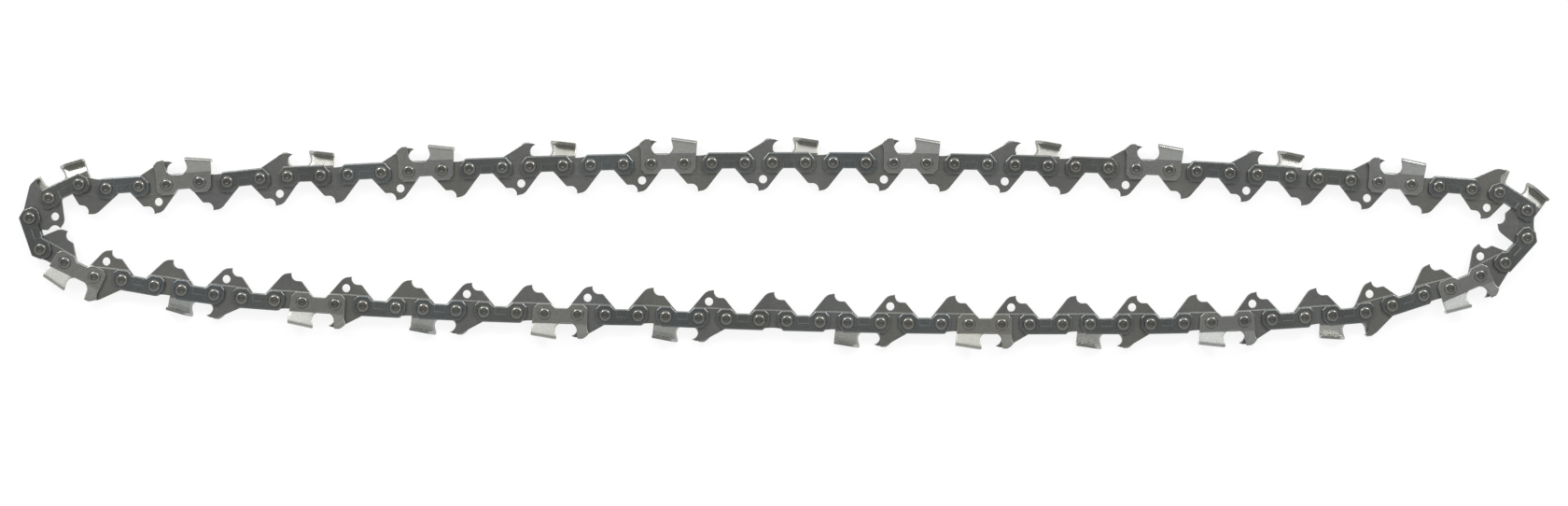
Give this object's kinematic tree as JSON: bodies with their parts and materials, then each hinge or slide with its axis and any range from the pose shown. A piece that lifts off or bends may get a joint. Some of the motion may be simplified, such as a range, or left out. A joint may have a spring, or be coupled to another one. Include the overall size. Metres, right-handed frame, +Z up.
{
  "type": "chainsaw chain loop",
  "caption": "Closed saw chain of riveted drive links, tie straps and chrome cutters with depth gauges, lying on its side as a long loop; it runs in a guide bar's groove.",
  "frame": {"origin": "centre of the loop's outline, on the surface the chain lies on", "axes": "+X along the loop's length, +Y across the loop towards the upper run of the picture, +Z up along the rivets, towards the side with the left cutters"},
  "size_m": [0.4696, 0.0654, 0.0061],
  "materials": {
    "drive_link_steel": "satin, faint green cast",
    "tie_strap_steel": "satin, blued",
    "cutter_chrome": "satin chrome",
    "rivet_steel": "spun heads"
  },
  "bodies": {
    "top_left": {"tie_straps_top_left": "tie_strap_steel", "rivets_top_left": "rivet_steel", "bumper_drive_links_top_left": "drive_link_steel", "left_cutters_top_left": "cutter_chrome", "drive_links_top_left": "drive_link_steel", "right_cutters_top_left": "cutter_chrome"},
    "left_end": {"bumper_drive_links_left_end": "drive_link_steel", "tie_straps_left_end": "tie_strap_steel", "right_cutters_left_end": "cutter_chrome", "rivets_left_end": "rivet_steel", "drive_links_left_end": "drive_link_steel", "left_cutters_left_end": "cutter_chrome"},
    "top_mid": {"bumper_drive_links_top_mid": "drive_link_steel", "tie_straps_top_mid": "tie_strap_steel", "right_cutters_top_mid": "cutter_chrome", "rivets_top_mid": "rivet_steel", "drive_links_top_mid": "drive_link_steel", "left_cutters_top_mid": "cutter_chrome"},
    "top_right": {"tie_straps_top_right": "tie_strap_steel", "rivets_top_right": "rivet_steel", "bumper_drive_links_top_right": "drive_link_steel", "right_cutters_top_right": "cutter_chrome", "drive_links_top_right": "drive_link_steel", "left_cutters_top_right": "cutter_chrome"},
    "right_end": {"bumper_drive_links_right_end": "drive_link_steel", "tie_straps_right_end": "tie_strap_steel", "right_cutters_right_end": "cutter_chrome", "rivets_right_end": "rivet_steel", "drive_links_right_end": "drive_link_steel", "left_cutters_right_end": "cutter_chrome"},
    "bottom_right": {"tie_straps_bottom_right": "tie_strap_steel", "right_cutters_bottom_right": "cutter_chrome", "rivets_bottom_right": "rivet_steel", "drive_links_bottom_right": "drive_link_steel", "bumper_drive_links_bottom_right": "drive_link_steel", "left_cutters_bottom_right": "cutter_chrome"},
    "bottom_mid": {"drive_links_bottom_mid": "drive_link_steel", "tie_straps_bottom_mid": "tie_strap_steel", "rivets_bottom_mid": "rivet_steel", "bumper_drive_links_bottom_mid": "drive_link_steel", "left_cutters_bottom_mid": "cutter_chrome", "right_cutters_bottom_mid": "cutter_chrome"},
    "bottom_left": {"tie_straps_bottom_left": "tie_strap_steel", "rivets_bottom_left": "rivet_steel", "bumper_drive_links_bottom_left": "drive_link_steel", "left_cutters_bottom_left": "cutter_chrome", "drive_links_bottom_left": "drive_link_steel", "right_cutters_bottom_left": "cutter_chrome"}
  },
  "joints": [
    {"name": "left_end_swing", "type": "hinge", "parent": "top_left", "child": "left_end", "pos_m": [-0.1338, 0.02113, 0.00304], "axis": [0, 0, 1], "range_deg": [-20, 20]},
    {"name": "bottom_left_pivot", "type": "hinge", "parent": "left_end", "child": "bottom_left", "pos_m": [-0.16646, -0.01677, 0.00304], "axis": [0, 0, 1], "range_deg": [-20, 20]},
    {"name": "middle_swing", "type": "hinge", "parent": "top_left", "child": "top_mid", "pos_m": [-0.01217, 0.02474, 0.00304], "axis": [0, 0, 1], "range_deg": [-20, 20]},
    {"name": "top_right_pivot", "type": "hinge", "parent": "top_mid", "child": "top_right", "pos_m": [0.12649, 0.02207, 0.00304], "axis": [0, 0, 1], "range_deg": [-20, 20]},
    {"name": "right_end_pivot", "type": "hinge", "parent": "top_right", "child": "right_end", "pos_m": [0.21081, 0.01662, 0.00304], "axis": [0, 0, 1], "range_deg": [-20, 20]},
    {"name": "bottom_right_pivot", "type": "hinge", "parent": "right_end", "child": "bottom_right", "pos_m": [0.17815, -0.02127, 0.00304], "axis": [0, 0, 1], "range_deg": [-20, 20]},
    {"name": "bottom_mid_pivot", "type": "hinge", "parent": "bottom_right", "child": "bottom_mid", "pos_m": [0.09376, -0.02478, 0.00304], "axis": [0, 0, 1], "range_deg": [-20, 20]}
  ],
  "couplings": [
    {"joint": "bottom_left_pivot", "follows": "left_end_swing", "ratio": -1},
    {"joint": "right_end_pivot", "follows": "left_end_swing", "ratio": 1},
    {"joint": "bottom_right_pivot", "follows": "left_end_swing", "ratio": -1},
    {"joint": "top_right_pivot", "follows": "middle_swing", "ratio": -1},
    {"joint": "bottom_mid_pivot", "follows": "middle_swing", "ratio": 1}
  ]
}
